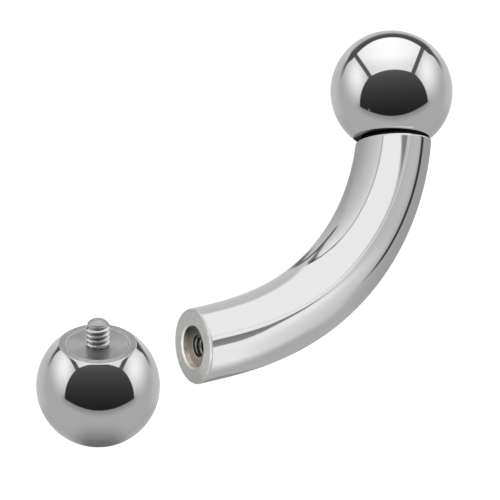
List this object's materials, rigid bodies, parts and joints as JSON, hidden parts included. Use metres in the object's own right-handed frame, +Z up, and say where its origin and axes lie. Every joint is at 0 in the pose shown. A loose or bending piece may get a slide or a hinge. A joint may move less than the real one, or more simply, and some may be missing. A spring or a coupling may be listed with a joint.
{
  "type": "curved barbell",
  "caption": "Curved, internally threaded steel barbell: a bent rod with a ball seated on one end and a tapped hole in the other, and the matching ball unscrewed beside it, threaded post up.",
  "frame": {"origin": "middle of the footprint, on the surface that the part lies on", "axes": "+X from the bar's free end to the end with the seated ball, +Z up, the bend bulging towards -Y"},
  "size_m": [0.0396, 0.0126, 0.0082],
  "materials": {
    "bar_steel": "mirror polished surgical steel, with a satin end face",
    "ball_steel": "mirror polished surgical steel, with a satin flat"
  },
  "bodies": {
    "root": {"bar": "bar_steel", "seated_ball": "ball_steel", "loose_ball": "ball_steel"}
  },
  "joints": []
}
